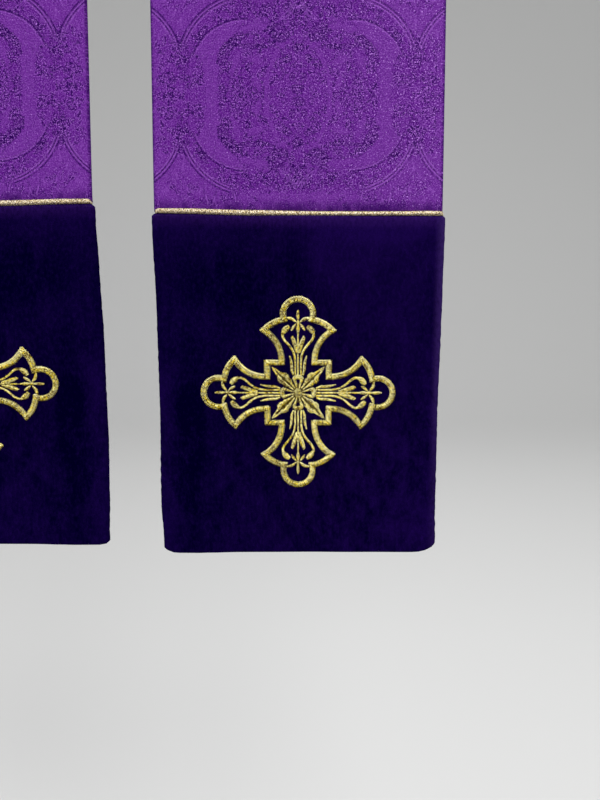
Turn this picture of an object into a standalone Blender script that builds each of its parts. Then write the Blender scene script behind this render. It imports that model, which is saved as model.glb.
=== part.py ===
# A clerical stole in its worn form: a flat strip on each side of the neck, meeting at the centre back, with
# a brocade length, a gold piping cord and a velvet end panel that carries an embroidered cross.
# Metres, +Z up, the front faces -Y, and "left" is the wearer's left, at +X.
# The origin is the notch of the inner edges at the centre back, under the cloth, where the nape carries it.

import math

import bmesh
import bpy
from mathutils import Matrix, Vector

MM = 0.001

# The cut
BROCADE_WIDTH = 125 * MM
BROCADE_WALL = 2.4 * MM
VELVET_WIDTH = 127 * MM
VELVET_LENGTH = 154.5 * MM
VELVET_WALL = 3.0 * MM
HEM_CORNER = 3.0 * MM  # radius of the velvet's lower corners
HEM_RISE = 0.006  # of the hem towards the outer edge, per unit of width
SEAM_FALL = 0.007  # of the seam towards the outer edge, per unit of width
PIPING_RADIUS = 1.15 * MM
PIPING_LENGTH = 124 * MM
PIPING_POINTS = 9
PIPING_PROUD = 0.8 * MM  # cord's axis, in front of the middle of the walls
SEAM_GAP = 0.3 * MM
CENTRE_BACK_GAP = 0.3 * MM
RIGHT_SIDE_SHORTER = 4 * MM  # the right side hangs this much higher
PANELS_APART = 25.5 * MM  # between the two velvet ends

# The way the strip bends on a wearer, from the hem upwards. Each bend turns the strip smoothly over its length.
START_LEAN = -2.3  # degrees, the velvet end's lower edge tucks back
BENDS = [
    # name, centre from the hem (m), length (m), lean over the wearer, sway within the cloth, slant of the fold (deg)
    ("seam", 0.158, 0.060, 4.8, 0.0, 0.0),
    ("waist", 0.600, 0.260, -3.5, 5.5, 0.0),
    ("chest", 0.930, 0.150, 30.5, 0.0, 4.0),
    ("collar", 1.085, 0.120, 50.0, 0.0, -21.0),
    ("shoulder", 1.175, 0.110, 54.0, -20.0, -14.0),
    ("nape", 1.270, 0.150, 12.7, -47.0, -8.7),
]
PATH_LENGTH = 1.400
PATH_STEP = 0.001
PAST_CENTRE_BACK = 20 * MM  # the strips are made this much too long and trimmed at the centre back

# Rows of the faceted strips: where they start, and how far apart they are
ROWS = [
    # from the hem (m), spacing (m)
    (0.158, 0.009),
    (0.190, 0.055),
    (0.470, 0.032),
    (0.850, 0.012),
    (1.020, 0.0080),
]
COLUMNS = 8
VELVET_ROWS = [
    # from the hem (m), spacing (m)
    (0.000, 0.042),
    (0.126, 0.007),
]

# The cross, from its centre, for the arm that points up. The other arms are turned copies.
CROSS_HEIGHT = 76.4 * MM  # centre above the hem
CROSS_LIFT = 0.3 * MM  # clear of the velvet
BAND_WIDTH = 2.5 * MM
BAND_THICKNESS = 1.0 * MM
FILLING_THICKNESS = 0.8 * MM
LOBE_CENTRE = 35.4 * MM
LOBE_RADIUS = 7.2 * MM
LOBE_START = 90  # degrees, the arm's axis
LOBE_END = -17  # degrees, where the lobe meets the shoulder
LOBE_STEPS = 8
TIP = (15.7 * MM, 28.0 * MM)
SHOULDER_BULGE = 0.9 * MM
SHOULDER_STEPS = 4
WAIST = (7.6 * MM, 14.0 * MM)
SIDE_HOLLOW = -2.3 * MM  # bends towards the arm's axis
SIDE_STEPS = 7
CORNER = (14.0 * MM, 14.0 * MM)
FILLING_OUTLINE = [
    # part of the filling, half width (mm), distance from the centre (mm)
    ("leaf tip", 11.4, 11.4),
    ("leaf shoulder", 6.6, 9.6),
    ("leaf lobe", 4.4, 9.0),
    ("blade foot", 3.6, 9.6),
    ("blade", 4.3, 16.6),
    ("stems", 2.2, 17.6),
    ("tendril", 4.6, 21.6),
    ("tendril bend", 7.5, 26.2),
    ("tendril crown", 7.2, 28.8),
    ("bulb", 5.2, 30.4),
    ("sprig foot", 1.6, 30.2),
    ("side leaf under", 4.7, 33.2),
    ("side leaf tip", 4.6, 34.1),
    ("sprig neck", 0.9, 33.9),
    ("sprig tip", 0.5, 37.7),
]

NEAR = 0.05 * MM  # points closer than this are one point
SMOOTH_ANGLE = math.radians(40)

VIOLET_BROCADE = (0.138, 0.030, 0.276)
DARK_VELVET = (0.004, 0.001, 0.024)
GOLD_THREAD = (0.58, 0.40, 0.09)


def clear_scene():
    for obj in list(bpy.data.objects):
        bpy.data.objects.remove(obj, do_unlink=True)


def make_material(name, color, roughness, metallic):
    material = bpy.data.materials.new(name)
    material.use_nodes = True
    shader = material.node_tree.nodes["Principled BSDF"]
    shader.inputs["Base Color"].default_value = (*color, 1.0)
    shader.inputs["Roughness"].default_value = roughness
    shader.inputs["Metallic"].default_value = metallic
    material.diffuse_color = (*color, 1.0)
    return material


def bend_rates(along, shortened):
    """Lean, sway and twist of the strip per metre, this far from the hem."""
    lean = sway = twist = 0.0
    for _, centre, length, lean_angle, sway_angle, slant in BENDS:
        place = (along - centre + shortened) / length
        if abs(place) < 0.5:
            share = (1 + math.cos(2 * math.pi * place)) / length
            lean += math.radians(lean_angle) * share
            sway += math.radians(sway_angle) * share
            twist += math.radians(lean_angle) * share * math.tan(math.radians(slant))
    return lean, sway, twist


class WornStrip:
    """The worn surface of one side. A point is given as on the flat cut: across from the centre line, positive
    towards the outer edge, along from the hem, and out in front of the middle of the cloth."""

    def __init__(self, side, shortened):
        self.side = side
        self.places = []
        centre = Vector(((PANELS_APART + VELVET_WIDTH) / 2, 0, 0))
        lean = math.radians(START_LEAN)
        upward = Vector((0, math.sin(lean), math.cos(lean)))
        across = Vector((1, 0, 0))
        for step in range(round(PATH_LENGTH / PATH_STEP) + 1):
            front = across.cross(upward)
            self.places.append((centre.copy(), across.copy(), front.copy()))
            lean_rate, sway_rate, twist_rate = bend_rates(step * PATH_STEP, shortened)
            turn = across * -lean_rate - upward * twist_rate - front * sway_rate
            if turn.length > 0:
                turning = Matrix.Rotation(turn.length * PATH_STEP, 3, turn.normalized())
                across = turning @ across
                before, upward = upward, turning @ upward
                centre = centre + (before + upward).normalized() * PATH_STEP
            else:
                centre = centre + upward * PATH_STEP
        self.notch = Vector((0, 0, 0))
        inner = -BROCADE_WIDTH / 2
        meets = next(
            i for i in range(len(self.places)) if self.unshifted(inner, i * PATH_STEP).x <= 0
        )
        self.length = meets * PATH_STEP
        self.notch = self.unshifted(inner, self.length, -BROCADE_WALL / 2)
        self.notch.x = 0

    def unshifted(self, across, along, out=0.0):
        where = max(0.0, along / PATH_STEP)
        first = min(int(where), len(self.places) - 2)
        part = where - first
        ends = []
        for centre, width_way, front in self.places[first : first + 2]:
            ends.append(centre + width_way * across + front * out)
        return ends[0].lerp(ends[1], part)

    def point(self, across, along, out=0.0):
        found = self.unshifted(across, along, out) - self.notch
        found.x *= self.side
        return found


def row_places(rows, end):
    """Distances from the hem for the rows of a faceted strip, the last one at its end."""
    starts = [start for start, _ in rows[1:]] + [end]
    places = []
    for (start, spacing), stop in zip(rows, starts):
        count = max(1, round((min(stop, end) - start) / spacing))
        places += [start + (stop - start) * i / count for i in range(count)]
    return places + [end]


def flat_panel(width, places):
    """A flat grid of the cut: x across, y along."""
    mesh = bmesh.new()
    rows = len(places) - 1
    bmesh.ops.create_grid(mesh, x_segments=COLUMNS, y_segments=rows, size=0.5)
    for vert in mesh.verts:
        vert.co.y = places[round((vert.co.y + 0.5) * rows)]
        vert.co.x *= width
    return mesh


def bend_panel(mesh, strip):
    """Bring a flat panel to its worn form."""
    for vert in mesh.verts:
        vert.co = strip.point(vert.co.x, vert.co.y)


def finish_solid(name, mesh, wall, material):
    """Give a bent sheet its wall, half of it to each side, and make it an object."""
    bmesh.ops.recalc_face_normals(mesh, faces=mesh.faces)
    data = bpy.data.meshes.new(name)
    mesh.to_mesh(data)
    mesh.free()
    data.materials.append(material)
    obj = bpy.data.objects.new(name, data)
    bpy.context.collection.objects.link(obj)
    solidify = obj.modifiers.new("wall", "SOLIDIFY")
    solidify.thickness = wall
    solidify.offset = 0
    data.shade_smooth()
    data.set_sharp_from_angle(angle=SMOOTH_ANGLE)


def seam_line(across):
    """Top of the velvet end at this place of its width."""
    return VELVET_LENGTH - SEAM_FALL * across


def make_brocade(name, strip, material):
    foot = seam_line(0) + 2 * (SEAM_GAP + PIPING_RADIUS)
    rows = [(foot, ROWS[0][1])] + ROWS[1:]
    mesh = flat_panel(BROCADE_WIDTH, row_places(rows, strip.length + PAST_CENTRE_BACK))
    for vert in mesh.verts:
        if vert.co.y < foot + NEAR:
            vert.co.y -= SEAM_FALL * vert.co.x
    bend_panel(mesh, strip)
    bmesh.ops.bisect_plane(
        mesh,
        geom=mesh.verts[:] + mesh.edges[:] + mesh.faces[:],
        dist=NEAR,
        plane_co=(strip.side * CENTRE_BACK_GAP / 2, 0, 0),
        plane_no=(strip.side, 0, 0),
        clear_inner=True,
    )
    finish_solid(name, mesh, BROCADE_WALL, material)


def make_velvet(name, strip, material):
    mesh = flat_panel(VELVET_WIDTH, row_places(VELVET_ROWS, VELVET_LENGTH))
    corners = [
        vert
        for vert in mesh.verts
        if vert.co.y < NEAR and abs(vert.co.x) > VELVET_WIDTH / 2 - NEAR
    ]
    bmesh.ops.bevel(
        mesh,
        geom=corners,
        offset=HEM_CORNER,
        segments=4,
        profile=0.5,
        affect="VERTICES",
        material=-1,
    )
    for vert in mesh.verts:
        up = vert.co.y / VELVET_LENGTH
        vert.co.y += vert.co.x * (HEM_RISE * (1 - up) - SEAM_FALL * up)
    bend_panel(mesh, strip)
    finish_solid(name, mesh, VELVET_WALL, material)


def make_piping(name, strip, material):
    """A straight cord along the seam, with closed ends."""
    curve = bpy.data.curves.new(name, "CURVE")
    curve.dimensions = "3D"
    curve.bevel_depth = PIPING_RADIUS
    curve.bevel_resolution = 2
    curve.use_fill_caps = True
    spline = curve.splines.new("POLY")
    spline.points.add(PIPING_POINTS - 1)
    for i, point in enumerate(spline.points):
        across = (i / (PIPING_POINTS - 1) - 0.5) * PIPING_LENGTH
        along = seam_line(across) + SEAM_GAP + PIPING_RADIUS
        point.co = (*strip.point(across, along, PIPING_PROUD), 1)
    curve.materials.append(material)
    bpy.context.collection.objects.link(bpy.data.objects.new(name, curve))


def arc_points(start, end, bulge, count):
    """Points from start to end on a flat curve that stands off its chord by bulge, to the left of the way."""
    start, end = Vector(start), Vector(end)
    chord = end - start
    left = Vector((-chord.y, chord.x)).normalized()
    points = []
    for i in range(count + 1):
        t = i / count
        points.append(start.lerp(end, t) + left * bulge * 4 * t * (1 - t))
    return points


def four_arms(half_arm):
    """The closed outline of a cross from one half arm, which runs from the arm's axis to its inner corner."""
    arm = [Vector((-p.x, p.y)) for p in reversed(half_arm)] + half_arm
    outline = []
    for quarter in range(4):
        turn = Matrix.Rotation(-quarter * math.pi / 2, 2)
        for point in arm:
            turned = turn @ point
            if not outline or (turned - outline[-1]).length > NEAR:
                outline.append(turned)
    if (outline[0] - outline[-1]).length < NEAR:
        outline.pop()
    return outline


def band_centre_line():
    lobe = []
    for i in range(LOBE_STEPS + 1):
        angle = math.radians(LOBE_START + (LOBE_END - LOBE_START) * i / LOBE_STEPS)
        way = Vector((math.cos(angle), math.sin(angle)))
        lobe.append(Vector((0, LOBE_CENTRE)) + way * LOBE_RADIUS)
    shoulder = arc_points(lobe[-1], TIP, SHOULDER_BULGE, SHOULDER_STEPS)
    side = arc_points(TIP, WAIST, SIDE_HOLLOW, SIDE_STEPS)
    return four_arms(lobe + shoulder[1:] + side[1:] + [Vector(CORNER)])


def parallel(outline, distance):
    """The closed outline moved sideways, with mitred corners."""
    moved = []
    for i, point in enumerate(outline):
        before = (point - outline[i - 1]).normalized()
        after = (outline[(i + 1) % len(outline)] - point).normalized()
        normal = Vector((-before.y - after.y, before.x + after.x)).normalized()
        stretch = max(0.5, normal.dot(Vector((-before.y, before.x))))
        moved.append(point + normal * distance / stretch)
    return moved


def on_velvet(strip, point, thickness):
    """A point of the cross on the velvet's front, at the middle of its own thickness."""
    out = VELVET_WALL / 2 + CROSS_LIFT + thickness / 2
    return strip.point(point.x, CROSS_HEIGHT + point.y, out)


def make_cross_outline(name, strip, material):
    centre_line = band_centre_line()
    mesh = bmesh.new()
    rims = []
    for distance in (-BAND_WIDTH / 2, BAND_WIDTH / 2):
        points = parallel(centre_line, distance)
        rim = [mesh.verts.new(on_velvet(strip, point, BAND_THICKNESS)) for point in points]
        rims.append([mesh.edges.new((rim[i - 1], rim[i])) for i in range(len(rim))])
    bmesh.ops.bridge_loops(mesh, edges=rims[0] + rims[1])
    finish_solid(name, mesh, BAND_THICKNESS, material)


def make_cross_filling(name, strip, material):
    half_arm = [Vector((across * MM, along * MM)) for _, across, along in reversed(FILLING_OUTLINE)]
    mesh = bmesh.new()
    points = four_arms(half_arm)
    mesh.faces.new([mesh.verts.new(on_velvet(strip, point, FILLING_THICKNESS)) for point in points])
    finish_solid(name, mesh, FILLING_THICKNESS, material)


def main():
    clear_scene()
    bpy.context.scene.unit_settings.scale_length = 1.0
    brocade = make_material("violet_brocade", VIOLET_BROCADE, 0.45, 0.0)
    velvet = make_material("dark_velvet", DARK_VELVET, 0.95, 0.0)
    piping = make_material("gold_piping", GOLD_THREAD, 0.4, 0.6)
    thread = make_material("gold_thread", GOLD_THREAD, 0.35, 0.4)
    for label, side, shortened in (("left", 1, 0.0), ("right", -1, RIGHT_SIDE_SHORTER)):
        strip = WornStrip(side, shortened)
        print(label, "side, hem to centre back", round(strip.length, 4))
        make_brocade("brocade_" + label, strip, brocade)
        make_velvet("velvet_end_" + label, strip, velvet)
        make_piping("piping_" + label, strip, piping)
        make_cross_outline("cross_outline_" + label, strip, thread)
        make_cross_filling("cross_filling_" + label, strip, thread)


main()
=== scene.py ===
import math
import random

import bmesh
import bpy
from mathutils import Matrix, Vector, noise


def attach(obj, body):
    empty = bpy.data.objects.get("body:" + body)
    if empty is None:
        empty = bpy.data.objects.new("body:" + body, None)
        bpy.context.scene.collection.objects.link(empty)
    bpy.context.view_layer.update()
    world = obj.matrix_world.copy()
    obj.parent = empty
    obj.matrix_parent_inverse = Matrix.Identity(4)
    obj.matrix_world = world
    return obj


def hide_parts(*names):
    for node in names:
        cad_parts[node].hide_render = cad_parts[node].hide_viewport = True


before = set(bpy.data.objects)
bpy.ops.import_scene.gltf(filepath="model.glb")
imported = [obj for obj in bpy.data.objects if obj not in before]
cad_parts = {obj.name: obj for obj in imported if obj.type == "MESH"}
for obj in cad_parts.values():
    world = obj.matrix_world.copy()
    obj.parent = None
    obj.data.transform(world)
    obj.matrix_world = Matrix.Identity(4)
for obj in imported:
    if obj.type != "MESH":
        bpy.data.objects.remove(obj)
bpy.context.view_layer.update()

mm = 0.001
sides = {"left": 1, "right": -1}  # the wearer's, left is at +X
print("frame loaded")

# how each side of the stole is cut and worn, all along its centre line
cut = {
    "brocadeWidth": 125 * mm,
    "brocadeWall": 2.4 * mm,
    "velvetWidth": 127 * mm,
    "velvetLength": 154.5 * mm,
    "velvetWall": 3.0 * mm,
    "panelsApart": 25.5 * mm,
    "seamFall": 0.007,  # towards the outer edge, per unit of width
    "hemRise": 0.006,
    "rightShorter": 4 * mm,
    "startLean": -2.3,
    "pathLength": 1.400,
    "pathStep": 1 * mm,
}
bends = [
    # name, centre from the hem and length (m), then in degrees its lean over the wearer, its sway within the
    # cloth and the slant of the fold
    ("seam", 0.158, 0.060, 4.8, 0.0, 0.0),
    ("waist", 0.600, 0.260, -3.5, 5.5, 0.0),
    ("chest", 0.930, 0.150, 30.5, 0.0, 4.0),
    ("collar", 1.085, 0.120, 50.0, 0.0, -21.0),
    ("shoulder", 1.175, 0.110, 54.0, -20.0, -14.0),
    ("nape", 1.270, 0.150, 12.7, -47.0, -8.7),
]


def bendRates(along, shorter):
    lean = sway = twist = 0.0
    for _, centre, length, leanBy, swayBy, slant in bends:
        place = (along - centre + shorter) / length
        if abs(place) < 0.5:
            share = (1 + math.cos(2 * math.pi * place)) / length
            lean += math.radians(leanBy) * share
            sway += math.radians(swayBy) * share
            twist += math.radians(leanBy) * share * math.tan(math.radians(slant))
    return lean, sway, twist


class WornSide:
    # one side of the worn stole: points are given on the flat cut, and how far in front of the cloth's middle
    def __init__(self, name):
        self.side = sides[name]
        shorter = cut["rightShorter"] if name == "right" else 0.0
        step = cut["pathStep"]
        lean = math.radians(cut["startLean"])
        centre = Vector(((cut["panelsApart"] + cut["velvetWidth"]) / 2, 0, 0))
        upward = Vector((0, math.sin(lean), math.cos(lean)))
        across = Vector((1, 0, 0))
        flatPoint, flatTurn = Vector((0, 0)), 0.0
        self.places = []
        self.flatLine = []  # the centre line on the flat cut, with its direction
        for count in range(round(cut["pathLength"] / step) + 1):
            front = across.cross(upward)
            self.places.append((centre.copy(), across.copy(), front.copy()))
            self.flatLine.append((flatPoint.copy(), flatTurn))
            leanRate, swayRate, twistRate = bendRates(count * step, shorter)
            turn = across * -leanRate - upward * twistRate - front * swayRate
            before = upward
            if turn.length > 0:
                turning = Matrix.Rotation(turn.length * step, 3, turn.normalized())
                across = turning @ across
                upward = turning @ upward
            centre = centre + (before + upward).normalized() * step
            flatTurn += swayRate * step
            flatPoint = flatPoint + Vector((math.sin(flatTurn), math.cos(flatTurn))) * step
        # the inner edges meet at the centre back, where the notch between them becomes the origin
        self.notch = Vector((0, 0, 0))
        inner = -cut["brocadeWidth"] / 2
        meets = next(i for i in range(len(self.places)) if self.loose(inner, i * step).x <= 0)
        self.length = meets * step
        self.notch = self.loose(inner, self.length, -cut["brocadeWall"] / 2)
        self.notch.x = 0

    def loose(self, across, along, out=0.0):
        where = max(0.0, along / cut["pathStep"])
        first = min(int(where), len(self.places) - 2)
        ends = [c + w * across + f * out for c, w, f in self.places[first : first + 2]]
        return ends[0].lerp(ends[1], where - first)

    def point(self, across, along, out=0.0):
        found = self.loose(across, along, out) - self.notch
        found.x *= self.side
        return found

    def axes(self, across, along):
        # along and out at a place, as unit vectors
        small = 0.5 * mm
        here = self.point(across, along)
        upwards = (self.point(across, along + small) - here).normalized()
        return upwards, (self.point(across, along, small) - here).normalized()


wornSides = {name: WornSide(name) for name in sides}
seamLine = cut["velvetLength"] + 1.45 * mm  # the piping's axis, up from the hem
print("worn sides laid out")


# camera at the end of the wearer's left side, a little below its seam
view = {
    "lens": 33.75,
    "sensor": 36,
    "inFront": 333.9 * mm,
    "belowSeam": 34.9 * mm,
    "aside": 77 * mm,
    "pitch": 7.83,
}


def addCamera():
    seamTop = wornSides["left"].point(0, cut["velvetLength"], cut["velvetWall"] / 2)
    data = bpy.data.cameras.new("camera")
    data.lens = view["lens"]
    data.sensor_width = view["sensor"]
    data.clip_start = 0.01
    camera = bpy.data.objects.new("camera", data)
    camera.location = (view["aside"], seamTop.y - view["inFront"], seamTop.z - view["belowSeam"])
    camera.rotation_euler = (math.radians(90 - view["pitch"]), 0, 0)
    bpy.context.scene.collection.objects.link(camera)
    bpy.context.scene.camera = camera


studio = {
    "floorHeight": -1.45,
    "backdropWidth": 16.0,
    "backdropFront": -7.0,
    "backdropBend": 2.2,  # where the sweep leaves the floor, behind the stole
    "backdropRadius": 1.6,
    "backdropTop": 5.0,
    "floorColor": (0.62, 0.62, 0.615),
    "floorRoughness": 0.8,
    "worldColor": (0.93, 0.935, 0.94),
    "worldStrength": 0.62,
}
lamps = [
    # name, place, aim and size in metres, power in watts
    ("keyLamp", (0.55, -1.35, 0.35), (0.05, -0.2, -0.95), 0.9, 23),
    ("fillLamp", (-1.3, -1.2, -0.6), (0.0, -0.2, -0.9), 1.2, 12),
    ("topLamp", (0.0, 0.3, 1.6), (0.0, -0.1, 0.0), 1.6, 40),
]


def addStudio():
    # a pale floor that sweeps up behind
    mesh = bmesh.new()
    bmesh.ops.create_grid(mesh, x_segments=1, y_segments=60, size=0.5)
    bendLength = studio["backdropRadius"] * math.pi / 2
    flatLength = studio["backdropBend"] - studio["backdropFront"]
    wallLength = studio["backdropTop"] - studio["backdropRadius"]
    for vert in mesh.verts:
        run = (vert.co.y + 0.5) * (flatLength + bendLength + wallLength)
        turn = min(max(run - flatLength, 0), bendLength) / studio["backdropRadius"]
        forward = studio["backdropFront"] + min(run, flatLength) + studio["backdropRadius"] * math.sin(turn)
        upward = studio["backdropRadius"] * (1 - math.cos(turn)) + max(run - flatLength - bendLength, 0)
        vert.co = (vert.co.x * studio["backdropWidth"], forward, studio["floorHeight"] + upward)
    paint = Recipe("floorPaint").finish(studio["floorColor"], studio["floorRoughness"])
    floor = finishMesh("floor", mesh, [paint])
    bpy.context.scene.view_settings.view_transform = "Standard"
    world = bpy.data.worlds.new("studio")
    world.use_nodes = True
    background = world.node_tree.nodes["Background"]
    background.inputs["Color"].default_value = (*studio["worldColor"], 1)
    background.inputs["Strength"].default_value = studio["worldStrength"]
    bpy.context.scene.world = world
    for name, place, aim, size, power in lamps:
        data = bpy.data.lights.new(name, "AREA")
        data.size = size
        data.energy = power
        light = bpy.data.objects.new(name, data)
        light.location = place
        light.rotation_euler = (Vector(aim) - Vector(place)).to_track_quat("-Z", "Y").to_euler()
        bpy.context.scene.collection.objects.link(light)


def finishMesh(name, mesh, materials, smooth=True):
    data = bpy.data.meshes.new(name)
    mesh.to_mesh(data)
    mesh.free()
    for material in materials:
        data.materials.append(material)
    if smooth:
        data.shade_smooth()
    piece = bpy.data.objects.new(name, data)
    bpy.context.scene.collection.objects.link(piece)
    return piece


class Recipe:
    # builds one material's nodes; numbers and sockets mix freely as inputs
    def __init__(self, name):
        self.material = bpy.data.materials.new(name)
        self.material.use_nodes = True
        self.tree = self.material.node_tree
        self.shader = self.tree.nodes["Principled BSDF"]

    def feed(self, socket, value):
        if hasattr(value, "is_output"):
            self.tree.links.new(value, socket)
        elif isinstance(value, tuple) and len(value) == 3 and socket.type == "RGBA":
            socket.default_value = (*value, 1)
        else:
            socket.default_value = value

    def add(self, kind, inputs=None, output=0, **settings):
        node = self.tree.nodes.new("ShaderNode" + kind)
        for key, value in settings.items():
            setattr(node, key, value)
        for key, value in (inputs or {}).items():
            self.feed(node.inputs[key], value)
        return node.outputs[output]

    def maths(self, operation, *values):
        return self.add("Math", dict(enumerate(values)), operation=operation)

    def chain(self, operation, first, *others):
        # one operation over any number of values
        for other in others:
            first = self.maths(operation, first, other)
        return first

    def allOf(self, *shares):
        # their product, so small wherever one is small
        return self.chain("MULTIPLY", *shares)

    def anyOf(self, *shares):
        # the largest of them
        return self.chain("MAXIMUM", *shares)

    def sumOf(self, *values):
        return self.chain("ADD", *values)

    def linear(self, value, factor, start):
        return self.maths("MULTIPLY_ADD", value, factor, start)

    def flatCut(self):
        # the place on the flat cut as a vector, then its two measures
        flat = self.add("UVMap", uv_map="flatCut")
        across = self.add("SeparateXYZ", {"Vector": flat})
        return flat, across, across.node.outputs[1]

    def scaled(self, vector, across, along):
        return self.add("VectorMath", {0: vector, 1: (across, along, 1.0)}, operation="MULTIPLY")

    def away(self, vector, place, size=(1.0, 1.0), turn=0):
        # distance from a place, in half sizes of a turned oval
        inputs = {"Vector": vector, "Location": (*place, 0), "Rotation": (0, 0, math.radians(turn))}
        inputs["Scale"] = (*size, 1)
        shifted = self.add("Mapping", inputs, vector_type="TEXTURE")
        return self.add("VectorMath", {0: shifted}, output="Value", operation="LENGTH")

    def fade(self, value, low, high, to=(0.0, 1.0)):
        # a smooth step from to[0] at low to to[1] at high
        inputs = {"Value": value, "From Min": low, "From Max": high, "To Min": to[0], "To Max": to[1]}
        return self.add("MapRange", inputs, interpolation_type="SMOOTHSTEP")

    def blend(self, share, first, second):
        # a Mix node's sockets for colors: 0, 6 and 7 in, 2 out
        node = self.tree.nodes.new("ShaderNodeMix")
        node.data_type = "RGBA"
        self.feed(node.inputs[0], share)
        self.feed(node.inputs[6], first)
        self.feed(node.inputs[7], second)
        return node.outputs[2]

    def layered(self, color, colors, layers):
        # each layer is a share and the name of its color
        for share, name in layers:
            color = self.blend(share, color, colors[name])
        return color

    def noise(self, vector, size, detail=2.0, roughness=0.6, distortion=0.0):
        # a cloud of grains about size metres across
        inputs = {"Vector": vector, "Scale": 1 / size, "Detail": detail, "Roughness": roughness}
        inputs["Distortion"] = distortion
        return self.add("TexNoise", inputs)

    def finish(self, color, roughness, height=None, depth=0.0, **fixed):
        self.feed(self.shader.inputs["Base Color"], color)
        self.feed(self.shader.inputs["Roughness"], roughness)
        if height is not None:
            inputs = {"Height": height, "Strength": 1.0, "Distance": depth}
            self.feed(self.shader.inputs["Normal"], self.add("Bump", inputs))
        for key, value in fixed.items():
            self.feed(self.shader.inputs[key.replace("_", " ")], value)
        return self.material


def settle(piece, node):
    # on the one body, in place of its CAD node
    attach(piece, "root")
    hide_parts(node)
    return piece


def steppedRows(rows, end):
    # places along a strip: each row of the table gives a start and a spacing up to the next start
    starts = [start for start, spacing in rows[1:]] + [end]
    places = []
    for (start, spacing), stop in zip(rows, starts):
        count = max(1, round((stop - start) / spacing))
        places += [start + (stop - start) * i / count for i in range(count)]
    return places + [end]


def ofKind(geometry, kind):
    return [item for item in geometry if isinstance(item, kind)]


def flatSlab(columns, rows, wall, roll, rollSteps):
    # a closed slab of cloth on the flat cut, x across, y along, z out, with rounded edges
    mesh = bmesh.new()
    across, along = len(columns) - 1, len(rows) - 1
    bmesh.ops.create_grid(mesh, x_segments=across, y_segments=along, size=0.5)
    for vert in mesh.verts:
        vert.co.x = columns[round((vert.co.x + 0.5) * across)]
        vert.co.y = rows[round((vert.co.y + 0.5) * along)]
        vert.co.z = -wall / 2
    front = bmesh.ops.extrude_face_region(mesh, geom=mesh.faces[:], use_keep_orig=True)
    raised = ofKind(front["geom"], bmesh.types.BMVert)
    bmesh.ops.translate(mesh, verts=raised, vec=(0, 0, wall))
    bmesh.ops.recalc_face_normals(mesh, faces=mesh.faces[:])
    level = [e for e in mesh.edges if abs(e.verts[0].co.z - e.verts[1].co.z) < wall / 4]
    rims = [e for e in level if abs(e.link_faces[0].normal.dot(e.link_faces[1].normal)) < 0.5]
    bmesh.ops.bevel(
        mesh, geom=rims, offset=roll, segments=rollSteps, profile=0.5, affect="EDGES", material=-1
    )
    return mesh


def wearSlab(name, mesh, worn, form, materials):
    # note the flat cut as the UV map, then bend the slab to its worn form
    flat = mesh.loops.layers.uv.new("flatCut")
    for face in mesh.faces:
        face.material_index = 1 if face.normal.z < -0.3 else 0
        for loop in face.loops:
            loop[flat].uv = loop.vert.co.xy
    for vert in mesh.verts:
        across, along, out = vert.co
        vert.co = worn.point(across, along, form(across, along, out))
    bmesh.ops.recalc_face_normals(mesh, faces=mesh.faces[:])
    return finishMesh(name, mesh, materials)


def tableAt(rows, place, column):
    # a smooth reading of a table, whose first column is the place
    after = next((i for i, row in enumerate(rows) if row[0] > place), len(rows) - 1)
    first, last = rows[max(after - 1, 0)], rows[after]
    t = min(1.0, max(0.0, (place - first[0]) / max(last[0] - first[0], 1e-6)))
    t = t * t * (3 - 2 * t)
    return first[column] * (1 - t) + last[column] * t


def bump(distance, width):
    # one soft hump, 1 at its middle
    return math.exp(-((distance / width) ** 2))


def crease(across, along, folds):
    # the soft troughs and ridges of a table at a place of the flat cut
    height = 0.0
    ends = 2.5  # a fold's reach in its half lengths and half widths, next to nothing is left there
    for foldAcross, foldAlong, slant, length, width, rise in folds:
        turn = math.radians(slant)
        dx, dy = across - foldAcross, along - foldAlong
        lengthwise = dx * math.cos(turn) + dy * math.sin(turn)
        sideways = dy * math.cos(turn) - dx * math.sin(turn)
        if abs(lengthwise) < ends * length and abs(sideways) < ends * width:
            height += rise * bump(lengthwise, length) * bump(sideways, width)
    return height


def rippled(waves, across, along):
    # the product of waves, each with its radians in a metre across and along, and its start
    return math.prod(math.sin(across * wide + along * high + start) for wide, high, start in waves)


def rounded(toEdge, reach):
    # the share left of a rounded edge, this far from it: 0 at the edge, 1 from its reach on
    return math.sqrt(max(0.0, 1 - max(0.0, 1 - toEdge / reach) ** 2))


brocade = {
    "columns": 26,
    "rows": [
        # from the hem (m), spacing (m)
        (0.1560, 0.0004), (0.1590, 0.0012), (0.1700, 0.004), (0.900, 0.004),
    ],
    "pastEnd": 20 * mm,
    "roll": 1.0 * mm,
    "rollSteps": 3,
    "wider": 1.006,
    "levelled": 10 * mm,  # how far up the seam's slope fades out
    "trim": 0.02 * mm,  # the gap left at the centre back
    "trimClose": 0.01 * mm,  # vertices as close as this lie on the cut
    "seamRoll": 2.4 * mm,
    "seamDepth": 1.9 * mm,
    "puckers": 26,
    "pucker": 0.34 * mm,
    "puckerWidth": (0.9 * mm, 2.2 * mm),
    "puckerReach": (3.0 * mm, 7.8 * mm),
    "puckersEnd": 30 * mm,
    "wave": 0.9 * mm,
    "waves": [(0, 23, 1.3), (30, 11, 0)],
    "foldsFrom": 0.20,  # from the hem (m), and the length over which folds and waves begin
    "foldsEase": 0.12,
    "rightHigher": 17 * mm,  # how much higher the right side's folds lie
}
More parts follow.
